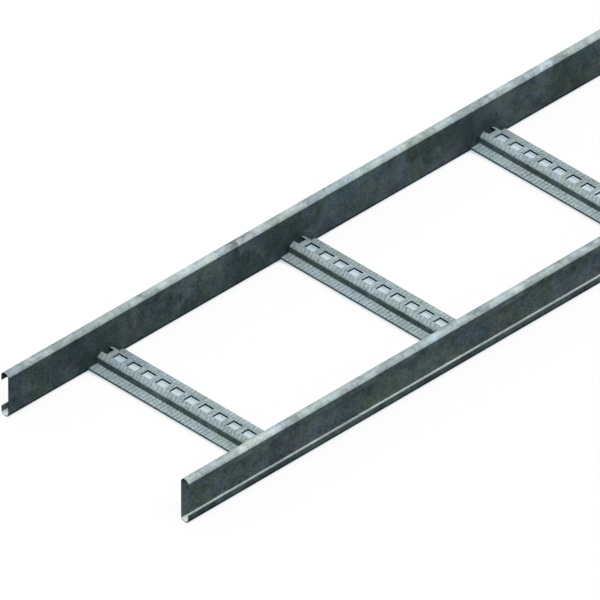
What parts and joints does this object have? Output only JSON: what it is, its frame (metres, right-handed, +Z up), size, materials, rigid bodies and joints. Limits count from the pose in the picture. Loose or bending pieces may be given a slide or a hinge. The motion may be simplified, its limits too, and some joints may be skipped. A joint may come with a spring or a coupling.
{
  "type": "cable ladder section",
  "caption": "Straight cable ladder section: two rolled C-shaped side rails with rounded edges, joined by slotted hat-section rungs.",
  "frame": {"origin": "middle of the section, level with the underside of the rails", "axes": "+X along the rails, +Y across the ladder to the left rail, +Z up"},
  "size_m": [3, 0.327, 0.065],
  "materials": {
    "galvanised_steel": "hot-dip galvanised, mottled and slightly dull"
  },
  "bodies": {
    "root": {"rail_left": "galvanised_steel", "rail_right": "galvanised_steel", "rung_01": "galvanised_steel", "rung_02": "galvanised_steel", "rung_03": "galvanised_steel", "rung_04": "galvanised_steel", "rung_05": "galvanised_steel", "rung_06": "galvanised_steel", "rung_07": "galvanised_steel", "rung_08": "galvanised_steel", "rung_09": "galvanised_steel"}
  },
  "joints": []
}
